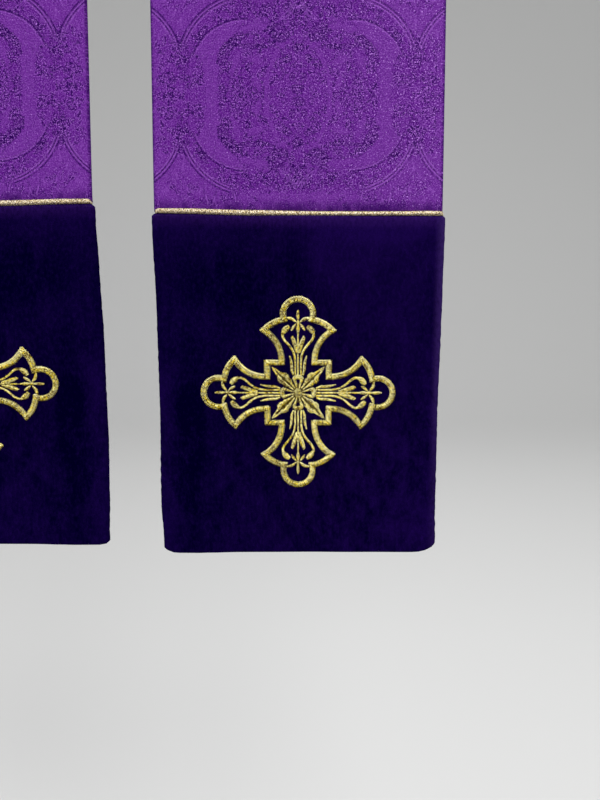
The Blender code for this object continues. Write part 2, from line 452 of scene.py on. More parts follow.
brocadeFolds = [
    # across, along (m), slant from the width (deg), half length, half width and height (m) of each soft fold
    (0.018, 0.430, 82, 0.090, 0.016, 0.0016),
    (-0.022, 0.560, 97, 0.120, 0.020, -0.0020),
    (0.030, 0.700, 78, 0.100, 0.014, 0.0018),
    (-0.010, 0.820, 95, 0.080, 0.018, -0.0015),
    (-0.030, 0.935, 20, 0.045, 0.010, -0.0022),
    (0.020, 0.965, -14, 0.050, 0.009, 0.0016),
    (-0.026, 1.045, 32, 0.040, 0.009, 0.0020),
    (-0.020, 1.085, 24, 0.046, 0.008, -0.0024),
    (-0.032, 1.125, 12, 0.036, 0.007, 0.0018),
    (-0.028, 1.165, -6, 0.042, 0.008, -0.0022),
    (-0.034, 1.200, -14, 0.034, 0.006, 0.0016),
    (-0.030, 1.240, -22, 0.040, 0.008, -0.0018),
    (0.026, 1.190, 8, 0.040, 0.014, 0.0014),
]


def brocadeForm(side):
    shift = 0.0 if side == "left" else brocade["rightHigher"]
    chance = random.Random(11 + len(side))
    puckers = []  # across, width, height and reach of each
    for count in range(brocade["puckers"]):
        place = (count + 0.5 + chance.uniform(-0.4, 0.4)) / brocade["puckers"] - 0.5
        width = chance.uniform(*brocade["puckerWidth"])
        height = chance.uniform(-1, 1) * brocade["pucker"]
        reach = chance.uniform(*brocade["puckerReach"])
        puckers.append((place * cut["brocadeWidth"], width, height, reach))

    def form(across, along, out):
        seam = seamLine - cut["seamFall"] * across
        fromSeam = along - seam
        height = crease(across, along - shift, brocadeFolds)
        height += brocade["wave"] * rippled(brocade["waves"], across, along)
        height *= min(1.0, max(0.0, (along - brocade["foldsFrom"]) / brocade["foldsEase"]))
        if fromSeam < brocade["puckersEnd"]:
            for place, width, rise, reach in puckers:
                height += rise * bump(across - place, width) * bump(fromSeam, reach)
        if out > 0:
            out -= brocade["seamDepth"] * (1 - rounded(fromSeam, brocade["seamRoll"]))
        return out + height

    return form


def spreadColumns(width, count, edge=1.6 * mm):
    # even columns, with one close to each side edge
    inside = [-width / 2 + edge + (width - 2 * edge) * i / (count - 2) for i in range(count - 1)]
    return [-width / 2] + inside + [width / 2]


def makeBrocade(side, materials):
    worn = wornSides[side]
    columns = spreadColumns(cut["brocadeWidth"], brocade["columns"])
    rows = steppedRows(brocade["rows"], worn.length + brocade["pastEnd"])
    mesh = flatSlab(columns, rows, cut["brocadeWall"], brocade["roll"], brocade["rollSteps"])
    for vert in mesh.verts:
        near = max(0.0, 1 - (vert.co.y - brocade["rows"][0][0]) / brocade["levelled"])
        vert.co.y -= cut["seamFall"] * vert.co.x * near
        vert.co.x *= brocade["wider"]
    piece = wearSlab("brocadeBand_" + side, mesh, worn, brocadeForm(side), materials)
    trimAtCentreBack(piece, worn)
    return settle(piece, "brocade_" + side)


def trimAtCentreBack(piece, worn):
    mesh = bmesh.new()
    mesh.from_mesh(piece.data)
    found = bmesh.ops.bisect_plane(
        mesh,
        geom=mesh.verts[:] + mesh.edges[:] + mesh.faces[:],
        dist=brocade["trimClose"],
        plane_co=(worn.side * brocade["trim"], 0, 0),
        plane_no=(worn.side, 0, 0),
        clear_inner=True,
    )
    bmesh.ops.holes_fill(mesh, edges=ofKind(found["geom_cut"], bmesh.types.BMEdge), sides=0)
    bmesh.ops.recalc_face_normals(mesh, faces=mesh.faces[:])
    mesh.to_mesh(piece.data)
    mesh.free()


velvet = {
    "columns": 44,
    "rows": [
        # from the hem (m), spacing (m)
        (0.0, 0.0030), (0.0060, 0.0012), (0.1475, 0.0011), (0.1525, 0.0004),
    ],
    "hemCorners": {
        # width and height of the inner and of the outer one
        "left": ((9.0 * mm, 3.9 * mm), (10.0 * mm, 5.4 * mm)),
        "right": ((6.5 * mm, 2.8 * mm), (9.0 * mm, 4.5 * mm)),
    },
    "topCorner": (2.8 * mm, 2.1 * mm),
    "cornerReach": (0.12, 0.05),  # of the height, over which the hem's and the top's corners fade out
    "nap": 0.22 * mm,  # how ragged the pile makes the side edges
    "napSize": 2.6 * mm,
    "napRow": (1.9, 7.3),  # of the noise, for the inner and the outer edge
    "roll": 1.35 * mm,
    "rollSteps": 4,
    "seamRoll": 2.2 * mm,
    "seamDepth": 1.5 * mm,
    "wave": 0.35 * mm,
    "waves": [(40, 61, 0), (55, 0, -0.7)],
    "top": 155.6 * mm,
    "hem": [
        # across (m), how far the hem wanders up (mm)
        (-0.055, -0.25), (-0.027, 0.40), (0.0, 0.25), (0.027, 0.05), (0.055, -0.1),
    ],
    "edges": {
        # from the hem (m), how far the inner and the outer edge wander out (mm)
        "left": [(0.005, -0.25, 0.8), (0.024, 0.5, 0.35), (0.070, -0.4, 0.05), (0.1157, -0.2, 0.5),
                 (0.1478, 0.5, 0.7)],
        "right": [(0.005, 0.3, 0.8), (0.024, 1.1, 0.35), (0.052, 1.9, 0.2), (0.094, 1.85, 0.4),
                  (0.130, 1.0, 0.6), (0.148, 0.5, 0.7)],
    },
}
velvetFolds = [
    # as the brocade's
    (-0.036, 0.028, 62, 0.030, 0.012, 0.0005),
    (0.030, 0.022, 110, 0.026, 0.010, -0.0005),
    (0.046, 0.120, 74, 0.030, 0.012, 0.0005),
    (-0.048, 0.105, 96, 0.034, 0.010, -0.0004),
]


def velvetForm(across, along, out):
    height = crease(across, along, velvetFolds)
    height += velvet["wave"] * rippled(velvet["waves"], across, along)
    if out > 0:
        toSeam = velvet["top"] - cut["seamFall"] * across - along
        out -= velvet["seamDepth"] * (1 - rounded(toSeam, velvet["seamRoll"]))
    return out + height


def makeVelvet(side, materials):
    worn = wornSides[side]
    columns = spreadColumns(cut["velvetWidth"], velvet["columns"])
    rows = steppedRows(velvet["rows"], velvet["top"])
    mesh = flatSlab(columns, rows, cut["velvetWall"], velvet["roll"], velvet["rollSteps"])
    hemReach, topReach = velvet["cornerReach"]
    for vert in mesh.verts:
        outer = vert.co.x > 0
        toEdge = cut["velvetWidth"] / 2 - abs(vert.co.x)
        up = vert.co.y / velvet["top"]
        vert.co.y += tableAt(velvet["hem"], vert.co.x, 1) * mm * (1 - up)
        width, height = velvet["hemCorners"][side][outer]
        vert.co.y += height * (1 - rounded(toEdge, width)) * max(0.0, 1 - up / hemReach)
        width, height = velvet["topCorner"]
        vert.co.y -= height * (1 - rounded(toEdge, width)) * max(0.0, 1 - (1 - up) / topReach)
        vert.co.y += vert.co.x * (cut["hemRise"] * (1 - up) - cut["seamFall"] * up)
        share = 2 * abs(vert.co.x) / cut["velvetWidth"]
        wander = share ** 2 * tableAt(velvet["edges"][side], vert.co.y, 2 if outer else 1) * mm
        napPlace = (vert.co.y / velvet["napSize"], velvet["napRow"][outer], sides[side])
        wander += share ** 12 * noise.noise(Vector(napPlace)) * velvet["nap"]
        vert.co.x += wander if outer else -wander
    piece = wearSlab("velvetEnd_" + side, mesh, worn, velvetForm, materials)
    return settle(piece, "velvet_end_" + side)


piping = {
    "length": 126.8 * mm,
    "outward": 0.4 * mm,  # of its middle, from the stole's
    "proud": 0.8 * mm,
    "run": [
        # place along the seam, how far it wanders up and its radius (mm)
        (-63, 0.38, 1.10), (-51, 0.31, 1.20), (-23, -0.20, 1.20), (7, -0.35, 0.98), (30, -0.20, 0.93),
        (44, -0.07, 0.95), (57, 0.04, 1.10), (63, 0.04, 1.10),
    ],
    "ribs": 6,
    "ribDepth": 0.15 * mm,
    "ribPitch": 1.05 * mm,
    "sides": 30,
    "step": 0.2 * mm,
    "wobble": 0.015 * mm,
    "endTurn": 2.4 * mm,  # the length in which each end is tucked in, down and back
    "endIn": 0.3 * mm,
    "endDown": 0.5 * mm,
    "endBack": 1.6 * mm,
    "tip": 0.15,  # of the thickness, at the very end
}


def makePiping(side, material):
    # a fine twisted cord along the seam, its two ends tucked back
    worn = wornSides[side]
    chance = random.Random(5)
    count = round(piping["length"] / piping["step"])
    mesh = bmesh.new()
    rings = [bmesh.ops.create_circle(mesh, segments=piping["sides"], radius=1.0)["verts"]]
    edges = firstEdges = mesh.edges[:]
    for _ in range(count):
        made = bmesh.ops.extrude_edge_only(mesh, edges=edges)["geom"]
        edges = ofKind(made, bmesh.types.BMEdge)
        rings.append(ofKind(made, bmesh.types.BMVert))
        bmesh.ops.translate(mesh, verts=rings[-1], vec=(0, 0, 1))
    wobble = [chance.uniform(-1, 1) for _ in range(count + 1)]
    for place, circle in enumerate(rings):
        fromMiddle = (place / count - 0.5) * piping["length"]
        across = fromMiddle + piping["outward"]
        toEnd = piping["length"] / 2 - abs(fromMiddle)
        tucked = max(0.0, 1 - toEnd / piping["endTurn"]) ** 2
        along = seamLine - cut["seamFall"] * across + tableAt(piping["run"], across / mm, 1) * mm
        along += piping["wobble"] * wobble[place] - piping["endDown"] * tucked
        thick = tableAt(piping["run"], across / mm, 2) * mm
        inwards = math.copysign(piping["endIn"], across) * tucked
        centre = worn.point(across - inwards, along, piping["proud"] - piping["endBack"] * tucked)
        upwards, forwards = worn.axes(across, along)
        slim = rounded(toEnd, thick) if 0 < place < count else piping["tip"]
        for vert in circle:
            angle = math.atan2(vert.co.y, vert.co.x)
            rib = abs(math.sin(piping["ribs"] * angle / 2 + math.pi * across / piping["ribPitch"]))
            radius = (thick - piping["ribDepth"] * (1 - rib)) * slim
            vert.co = centre + (forwards * math.cos(angle) + upwards * math.sin(angle)) * radius
    for rim in (firstEdges, edges):
        bmesh.ops.contextual_create(mesh, geom=rim)
    bmesh.ops.recalc_face_normals(mesh, faces=mesh.faces[:])
    return settle(finishMesh("pipingCord_" + side, mesh, [material]), "piping_" + side)


cross = {
    "height": 76.4 * mm,  # its centre above the hem
    "sunk": 0.10 * mm,  # into the pile
    "lobeCentre": 35.85 * mm,
    "lobeRadius": 6.75 * mm,
    "lobeEnd": -22,
    "tip": (15.3 * mm, 28.45 * mm),
    "shoulderBulge": 0.9 * mm,
    "waist": (7.4 * mm, 13.85 * mm),
    "sideHollow": -2.35 * mm,
    "corner": (13.8 * mm, 13.85 * mm),
    "bandWidth": 3.0 * mm,
    "bandHeight": 0.72 * mm,
    "bandPitch": 0.48 * mm,
    "fillingPitch": 0.42 * mm,
    "rowHeight": 0.20 * mm,  # of the narrowest row, wider ones stand higher
    "rowSwell": 0.17,  # of a row's width
    "ragged": 0.20 * mm,
    "strays": [
        # how far up the sewn cross wanders off its chart (mm), by height from its centre
        (-43, -0.50), (-28, -0.38), (-16, 0.15), (-13.8, -0.10), (-8, 0.06), (0, 0), (8, -0.06),
        (13.8, -0.02), (16, -0.20), (28, -0.20), (43, -0.50),
    ],
    "wider": 1.004,
    "aside": 0.1 * mm,
    "lift": 0.2 * mm,
    "fall": 0.003,
}
thread = {
    "sides": 5,
    "rings": 7,
    "width": 0.54 * mm,
    "depth": 0.20 * mm,
    "shortest": 0.3 * mm,  # a stitch in a row's tip
    "lift": (0.86, 1.10),  # of a row's height, by chance
    "slip": 0.4,  # of the raggedness, along the row
    "steepest": 0.35,  # sine of the least angle that a stitch can make with its row
    "newShade": 0.75,  # how often the next stitch has another shade
    "taper": 0.35,
    "arch": 2.2,
}
# one arm's filling, pointing up, in mm from the centre: name, whether in each arm, as a pair in each or once,
# the stitches' slant (deg), their height (None follows the width), the row's widths along it, and its line
filling = [
    ("leafUnderlay", "each", 20, 0.16, (1.6, 4.3, 0.4), [(1.4, 1.4), (5.5, 5.5), (10.2, 10.3)]),
    ("centreUnderlay", "once", 15, 0.16, (2.0, 8.4, 2.0), [(0, -4.3), (0, 0), (0, 4.3)]),
    ("outerBlade", "pair", 40, None, (0.8, 1.35, 0.35),
     [(2.2, 8.4), (2.8, 10.2), (2.95, 12.6), (3.3, 14.8), (3.9, 17.2)]),
    ("tendril", "pair", 50, None, (0.75, 1.0, 1.15),
     [(1.35, 8.4), (1.35, 12), (1.45, 15.5), (2.2, 18.8), (4.0, 21.6), (5.8, 23.6), (6.85, 25.5),
      (6.9, 27.2)]),
    ("bulb", "pair", 0, None, (1.4, 2.8, 1.9), [(6.8, 27.0), (6.2, 28.2), (5.2, 29.3), (4.1, 30.1)]),
    ("centreStem", "each", 50, None, (0.7, 0.75, 0.7), [(0, 8.4), (0, 13), (0, 18.6)]),
    ("tulipPetal", "pair", 30, None, (1.0, 2.2, 1.5), [(0.7, 18.6), (1.1, 20.9), (1.9, 23.2), (2.8, 25.4)]),
    ("tulipHeart", "each", 0, None, (0.5, 2.1, 1.9), [(0, 18.0), (0, 19.8), (0, 21.9)]),
    ("thinStem", "each", 45, None, (0.75, 0.7, 0.7), [(0, 21.6), (0, 24.4), (0, 27.6)]),
    ("lowDrop", "each", 0, None, (0.6, 1.8, 0.9), [(0, 27.3), (0, 29.0), (0, 30.9)]),
    ("highDrop", "each", 0, None, (0.8, 1.6, 0.8), [(0, 30.7), (0, 31.9), (0, 33.3)]),
    ("topLeaf", "each", 25, None, (0.8, 1.55, 0.3), [(0, 33.2), (0, 35.2), (0, 37.9)]),
    ("sideLeaf", "pair", 25, None, (0.6, 1.6, 0.7), [(1.0, 32.2), (2.7, 33.55), (5.1, 34.05)]),
    ("lowLeaf", "pair", 25, None, (0.6, 1.45, 0.7), [(1.0, 31.2), (1.85, 30.2), (2.9, 28.5)]),
    ("budSide", "pair", 20, None, (0.7, 0.85, 1.35, 1.8), [(0.6, 2.1), (0.92, 3.6), (1.4, 5.2), (1.7, 6.2)]),
    ("budCap", "each", 0, None, (1.4, 2.6, 1.4),
     [(-2.1, 6.3), (-1.2, 7.05), (0, 7.3), (1.2, 7.05), (2.1, 6.3)]),
    ("leafHalf", "pair", -30, None, (0.7, 0.9, 1.15, 1.65, 2.6, 1.9, 2.9, 2.3, 1.3, 1.0, 0.85, 0.65, 0.3),
     [(1.65, 2.4), (2.95, 4.2), (4.2, 6.0), (5.15, 7.3), (6.15, 8.3), (7.35, 8.8), (8.9, 9.9),
      (10.2, 10.9), (11.6, 11.8)]),
    ("leafTip", "each", 0, None, (1.1, 0.8, 0.3), [(10.2, 10.2), (11.2, 11.2), (12.2, 12.2)]),
    ("boss", "once", 0, 1.0, (2.4, 4.5, 2.4), [(0, -1.75), (0, 0), (0, 1.75)]),
]


def smoothLine(points, pitch):
    # evenly spaced places on a smooth line through the points, each with its direction
    ends = [points[0] * 2 - points[1]] + points + [points[-1] * 2 - points[-2]]
    fine = []
    for i in range(1, len(ends) - 2):
        a, b, c, d = ends[i - 1 : i + 3]
        for step in range(24):
            t = step / 24
            curved = (2 * a - 5 * b + 4 * c - d) * t * t + (3 * b - a - 3 * c + d) * t ** 3
            fine.append(0.5 * (2 * b + (c - a) * t + curved))
    fine.append(points[-1])
    lengths = [0.0]
    for before, after in zip(fine, fine[1:]):
        lengths.append(lengths[-1] + (after - before).length)
    count = max(2, round(lengths[-1] / pitch))
    places, at = [], 0
    for i in range(count + 1):
        reach = lengths[-1] * i / count
        while at < len(fine) - 2 and lengths[at + 1] < reach:
            at += 1
        span = lengths[at + 1] - lengths[at]
        place = fine[at].lerp(fine[at + 1], (reach - lengths[at]) / span if span > 0 else 0)
        places.append((place, (fine[at + 1] - fine[at]).normalized()))
    return places


def bulged(start, end, bulge, count=8):
    start, end = Vector(start), Vector(end)
    left = Vector((start.y - end.y, end.x - start.x)).normalized()
    shares = [i / count for i in range(count + 1)]
    return [start.lerp(end, share) + left * bulge * 4 * share * (1 - share) for share in shares]


def bandRuns():
    # the outline's runs between its corners, clockwise from the top arm's lobe
    lobe = []
    for i in range(-10, 11):
        angle = math.radians(90 - (90 - cross["lobeEnd"]) * i / 10)
        way = Vector((math.cos(angle), math.sin(angle)))
        lobe.append(way * cross["lobeRadius"] + Vector((0, cross["lobeCentre"])))
    shoulder = bulged(lobe[-1], cross["tip"], cross["shoulderBulge"])
    flank = bulged(cross["tip"], cross["waist"], cross["sideHollow"])
    ledge = bulged(cross["waist"], cross["corner"], 0.0, 2)
    mirrored = [[Vector((-p.x, p.y)) for p in reversed(run)] for run in (ledge, flank, shoulder)]
    runs = []
    for quarter in range(4):
        turn = Matrix.Rotation(-quarter * math.pi / 2, 2)
        for run in mirrored + [lobe, shoulder, flank, ledge]:
            runs.append([turn @ point for point in run])
    return runs


class StitchWork:
    # satin stitches: each is a copy of one short thread, laid on the flat cut and bent with the cloth
    def __init__(self, seed):
        self.chance = random.Random(seed)
        self.stitches = []  # start, end, from and to what share between them (-1 to 1), height, underlay

    def row(self, places, widths, slant=0.0, height=None, mitres=(), under=False):
        # stitches across a line: widths from its start to its end, mitres are (point, inward way) pairs
        profile = [(i / (len(widths) - 1), width) for i, width in enumerate(widths)]
        first, middle, last = widths[0], widths[len(widths) // 2], widths[-1]
        for count, (place, direction) in enumerate(places):
            t = count / (len(places) - 1)
            width = first * (1 - t) * (1 - 2 * t) + middle * 4 * t * (1 - t) + last * t * (2 * t - 1)
            width = max(width if len(widths) == 3 else tableAt(profile, t, 1), thread["shortest"])
            lift = cross["rowHeight"] + cross["rowSwell"] * width if height is None else height
            turn = math.radians(90 - slant)
            steep = max(thread["steepest"], math.sin(turn))
            reach = Matrix.Rotation(turn, 2) @ direction * (width / 2 / steep)
            ragged = [self.chance.uniform(-0.5, 0.5) * cross["ragged"] for _ in range(3)]
            centre = place + direction * ragged[2] * thread["slip"]
            start = centre - reach * (1 + ragged[0] / width)
            end = centre + reach * (1 + ragged[1] / width)
            low, high = -1.0, 1.0
            for corner, inward in mitres:
                depths = [(start.lerp(end, (share + 1) / 2) - corner).dot(inward) for share in (low, high)]
                if depths[0] < 0 < depths[1]:
                    low += (high - low) * depths[0] / (depths[0] - depths[1])
                elif depths[1] < 0 < depths[0]:
                    high += (low - high) * depths[1] / (depths[1] - depths[0])
                elif max(depths) <= 0:
                    high = low
            if (end - start).length * (high - low) / 2 > thread["width"]:
                lift *= self.chance.uniform(*thread["lift"])
                self.stitches.append((start, end, low, high, lift, under))

    def sew(self, name, side, material):
        mesh = bmesh.new()
        tint = mesh.verts.layers.float.new("threadTint")
        # 0 at a stitch's middle, 1 where it goes into the cloth, 2 all over the underlay
        foot = mesh.verts.layers.float.new("threadFoot")
        radii = {"radius1": 0.5, "radius2": 0.5}
        bmesh.ops.create_cone(mesh, cap_ends=True, segments=thread["sides"], depth=1, **radii)
        runs = [e for e in mesh.edges if abs(e.verts[0].co.z - e.verts[1].co.z) > 0.5]
        bmesh.ops.subdivide_edges(mesh, edges=runs, cuts=thread["rings"] - 2)
        shape = [vert.co.copy() for vert in mesh.verts]
        copies = 1
        while copies < len(self.stitches):
            more = min(copies, len(self.stitches) - copies)
            mesh.verts.ensure_lookup_table()
            chosen = set(mesh.verts[: more * len(shape)])
            faces = [face for face in mesh.faces if face.verts[0] in chosen]
            bmesh.ops.duplicate(mesh, geom=faces)
            copies += more
        mesh.verts.ensure_lookup_table()
        worn = wornSides[side]
        shade = 0.5
        for count, (start, end, low, high, height, under) in enumerate(self.stitches):
            run = end - start
            sideways = Vector((-run.y, run.x)).normalized() * thread["width"]
            if self.chance.random() < thread["newShade"]:
                shade = self.chance.random()
            for number, (up, across, along) in enumerate(shape):
                reached = low + (high - low) * (math.sin(math.pi * along) + 1) / 2
                near = abs(reached)  # 0 at the middle, 1 at the ends
                place = (start + end) / 2 + run * reached / 2
                place = place + sideways * across * (1 - thread["taper"] * near ** 6)
                raised = height * (1 - near ** thread["arch"]) + thread["depth"] * up if up > -0.1 else 0.0
                strayed = tableAt(cross["strays"], place.y / mm, 1) * mm
                across = place.x * cross["wider"] - cross["aside"]
                along = cross["height"] + cross["lift"] + place.y + strayed - place.x * cross["fall"]
                front = velvetForm(across, along, cut["velvetWall"] / 2)
                vert = mesh.verts[count * len(shape) + number]
                vert.co = worn.point(across, along, front - cross["sunk"] + raised)
                vert[tint] = shade
                vert[foot] = 2.0 if under else near
        bmesh.ops.recalc_face_normals(mesh, faces=mesh.faces[:])
        return finishMesh(name, mesh, [material], smooth=False)


def makeCrossBand(side, material):
    work = StitchWork(31 + sides[side])
    runs = bandRuns()
    extra = math.ceil(cross["bandWidth"] / cross["bandPitch"])
    lines = [smoothLine(run, cross["bandPitch"]) for run in runs]
    for count, line in enumerate(lines):
        (start, leaving), (end, arriving) = line[0], line[-1]
        before, after = lines[count - 1][-1][1], lines[(count + 1) % len(lines)][0][1]
        mitres = [(start, (before + leaving).normalized()), (end, -(arriving + after).normalized())]
        steps = [cross["bandPitch"] * (extra - i) for i in range(extra)]
        line = [(start - leaving * step, leaving) for step in steps] + line
        line += [(end + arriving * step, arriving) for step in reversed(steps)]
        work.row(line, [cross["bandWidth"]] * 3, height=cross["bandHeight"], mitres=mitres)
    return settle(work.sew("crossBand_" + side, side, material), "cross_outline_" + side)


def makeCrossFilling(side, material):
    work = StitchWork(47 + sides[side])
    for quarter in range(4):
        turn = Matrix.Rotation(-quarter * math.pi / 2, 2)
        for name, times, slant, height, widths, line in filling:
            if times == "once" and quarter > 0:
                continue
            for mirror in (1, -1) if times == "pair" else (1,):
                points = [turn @ Vector((x * mirror * mm, y * mm)) for x, y in line]
                places = smoothLine(points, cross["fillingPitch"])
                lift = height and height * mm
                work.row(places, [w * mm for w in widths], slant * mirror, lift, under="Underlay" in name)
    return settle(work.sew("crossFilling_" + side, side, material), "cross_filling_" + side)


damask = {
    # the figured cloth's repeat on the flat cut, in metres: a ring with foliage in it
    "ringAlong": 0.2050,
    "repeatAlong": 0.135,
    "repeatAcross": 0.101,
    "arc": (20.9 * mm, 10.7 * mm),  # the centre of a quarter's outer arc
    "arcRadius": 29.6 * mm,
    "innerArc": (23.3 * mm, 8.3 * mm),
    "innerRadius": 22.4 * mm,
    "arcsFade": (26 * mm, 33 * mm),
    "lineApart": 1.3 * mm,
    "lineWidth": 0.5 * mm,
    "disc": 35.8 * mm,
    "discShape": (0.97, 1.09),
    "discWaver": 3 * mm,
    "softEdge": 0.9 * mm,
    "bunch": (0.0, 32.5 * mm),
    "bunchSize": (19 * mm, 8.8 * mm),
    "patchSize": (10.5 * mm, 24 * mm),
    "ground": (0.084, 0.0040, 0.188),
    "smooth": (0.121, 0.0205, 0.236),
    "fleck": (0.020, 0.0, 0.072),
    # sparkle: partly the weave's own light floats, partly painted highlight; glint: painted glints
    "sparkle": (0.36, 0.140, 0.56),
    "glint": (0.62, 0.34, 0.86),
    # strand: the raised lines' own colour with painted highlight
    "strand": (0.225, 0.066, 0.385),
    "fleckSize": 0.88 * mm,
    "sparkleSize": 0.66 * mm,
    "weaveSize": 0.52 * mm,
    "relief": 0.16 * mm,
    "edgeShade": (0.0612, 0.0624),  # from the middle, where painted shade darkens the folded edges
    "seamShade": (6.5 * mm, 2.0 * mm),  # up from the seam, where painted shade falls on the pulled cloth
    # a painted contact shadow just above the piping, up from the seam
    "seamFoot": (2.3 * mm, 1.0 * mm),
    "leaves": [
        # ovals in a quarter of the ring, in mm from its centre: x, y, half width, half length, turn (deg),
        # and how figured they are, 0 for plain
        (8.7, 26.0, 4.2, 3.4, 25, 1.4), (0.0, 28.8, 3.4, 2.4, 0, 1.0), (12.3, 33.4, 3.8, 3.6, -10, 1.0),
        (2.6, 35.6, 0.8, 3.4, -31, 1.4), (5.0, 34.6, 0.7, 3.0, -38, 1.4), (22.5, 35.6, 4.6, 2.4, -20, 1.0),
        (31.4, 17.6, 2.2, 5.0, 28, 1.4), (27.0, 22.8, 4.0, 1.8, -38, 1.4), (19.6, 20.2, 6.5, 1.0, 2, 1.4),
        (31.6, 6.0, 2.2, 5.0, 4, 1.0), (22.4, 9.0, 1.8, 5.0, -6, 1.0), (0.6, 19.6, 1.9, 1.6, 0, 1.4),
        (0.0, 2.6, 2.4, 1.8, 0, 1.4), (4.4, 15.2, 1.3, 1.9, 30, 1.4), (2.6, 7.6, 1.1, 1.6, 0, 1.4),
        (0.0, 38.0, 2.4, 2.2, 0, 1.0), (41.0, 25.6, 1.2, 3.0, 40, 1.4), (49.5, 16.0, 2.6, 6.0, 0, 1.2),
        (10.5, 14.6, 1.0, 6.8, 25, 0.0), (13.5, 4.0, 1.0, 5.4, 4, 0.0), (7.6, 20.8, 2.2, 1.4, 20, 0.0),
        (15.6, 29.4, 3.2, 2.6, -30, 0.0), (18.4, 14.8, 3.6, 1.6, 20, 0.0), (27.0, 13.0, 1.3, 5.6, 20, 0.0),
        (17.4, 5.0, 1.4, 3.6, -16, 0.0), (22.4, 27.0, 4.6, 1.5, -26, 0.0),
    ],
    "sprays": [
        # single strokes: the same, then how dark they are, below 0 for light ones
        (2.7, 35.5, 0.40, 1.7, 28, 0.55), (4.2, 34.3, 0.40, 1.8, 38, 0.55), (5.6, 33.0, 0.40, 1.6, 50, 0.45),
        (27.5, 42.2, 0.40, 2.1, 14, -0.5), (36.6, 44.0, 0.40, 2.0, -16, -0.55),
        (39.6, 43.6, 0.40, 2.4, 18, -0.6), (48.5, 43.6, 0.35, 1.4, -40, -0.5),
    ],
}


def drawDamask(recipe, flat, aside, quarter):
    # the damask's drawing, in shares from 0 to 1
    maths, linear, fade, noise = recipe.maths, recipe.linear, recipe.fade, recipe.noise
    allOf, anyOf = recipe.allOf, recipe.anyOf
    waver = linear(noise(quarter, 9 * mm, 1.0, 0.5), 2.0, -1.0)
    ragged = linear(noise(quarter, 3.2 * mm), 2.0, -1.0)

    def away(place, size=(1.0, 1.0), turn=0):
        return recipe.away(quarter, place, size, turn)

    def within(distance, edge, soft, wavering=0.0):
        # 1 inside an edge that wavers, 0 outside it
        return fade(linear(waver, wavering, distance), edge + soft, edge - soft)

    def line(distance, radius):
        # a raised strand, partly its own lighter colour and partly painted highlight, and the painted shade
        # at its foot
        off = maths("SUBTRACT", distance, radius)
        width = damask["lineWidth"]
        parts = (off, maths("SUBTRACT", off, width * 1.7))
        return [fade(maths("ABSOLUTE", part), width, width * 0.3) for part in parts]

    # the ring: its disc, crescents between arcs, bunches above and below, and patches at the sides
    soft = damask["softEdge"]
    middle = away((0, 0), damask["discShape"])
    arc, innerArc = away(damask["arc"]), away(damask["innerArc"])
    nextArc = away((damask["repeatAcross"] - damask["arc"][0], damask["arc"][1]))
    bunch = away(damask["bunch"], damask["bunchSize"])
    patch = away((damask["repeatAcross"] / 2, 0), damask["patchSize"])
    inArc = within(arc, damask["arcRadius"], soft)
    crescent = allOf(inArc, within(innerArc, damask["innerRadius"], -soft))
    disc = within(middle, damask["disc"], soft, damask["discWaver"])
    foliage = anyOf(crescent, disc, within(bunch, 1.0, 0.05, 0.35), within(patch, 1.0, 0.05, 0.3))
    # leaves with plain gaps between them, the same in each quarter of the repeat
    leafVeins = noise(quarter, 6 * mm, 1.0, 0.5, 1.5)
    gaps = fade(maths("ABSOLUTE", maths("SUBTRACT", leafVeins, 0.5)), 0.012, 0.045)
    figured = allOf(foliage, linear(gaps, 0.45, 0.35))
    rims = darkStrokes = lightStrokes = 0.0
    for x, y, halfWidth, halfLength, turn, share in damask["leaves"]:
        oval = linear(ragged, 0.42, away((x * mm, y * mm), (halfWidth * mm, halfLength * mm), turn))
        figured = recipe.add("Mix", {0: fade(oval, 1.12, 0.88), 2: figured, 3: share})
        rims = anyOf(rims, allOf(fade(oval, 1.35, 1.1), fade(oval, 0.75, 1.0), share, 0.8))
    for x, y, halfWidth, halfLength, turn, dark in damask["sprays"]:
        oval = away((x * mm, y * mm), (halfWidth * mm, halfLength * mm), turn)
        if dark > 0:
            darkStrokes = anyOf(darkStrokes, fade(oval, 1.15, 0.7, (0.0, dark)))
            lightStrokes = anyOf(lightStrokes, allOf(fade(oval, 1.1, 1.5), fade(oval, 2.3, 1.7), 0.4))
        else:
            lightStrokes = anyOf(lightStrokes, fade(oval, 1.15, 0.6, (0.0, -dark)))
            darkStrokes = anyOf(darkStrokes, allOf(fade(oval, 1.1, 1.5), fade(oval, 2.4, 1.8), 0.35))
    sprigs = fade(noise(quarter, 8 * mm, 2.0, 0.55, 1.0), 0.50, 0.58)
    figured = anyOf(figured, allOf(maths("SUBTRACT", 1.0, anyOf(inArc, disc)), sprigs, 0.65))
    # raised double lines, broken where foliage lies over them
    apart = damask["lineApart"] / 2
    outer = [line(place, damask["arcRadius"] + off) for place in (arc, nextArc) for off in (apart, -apart)]
    outer = [allOf(anyOf(*parts), fade(aside, *damask["arcsFade"])) for parts in zip(*outer)]
    inner = [allOf(part, inArc) for part in line(innerArc, damask["innerRadius"])]
    unbroken = allOf(
        fade(bunch, 1.0, 1.35),
        fade(patch, 0.75, 1.0),
        fade(middle, damask["disc"] - damask["discWaver"], damask["disc"]),
        fade(noise(flat, 3 * mm), 0.34, 0.48, (0.35, 1.0)),
    )
    lines = allOf(anyOf(outer[0], allOf(inner[0], 0.7)), unbroken)
    feet = allOf(anyOf(outer[1], inner[1]), unbroken)
    return figured, rims, inArc, lines, feet, darkStrokes, lightStrokes


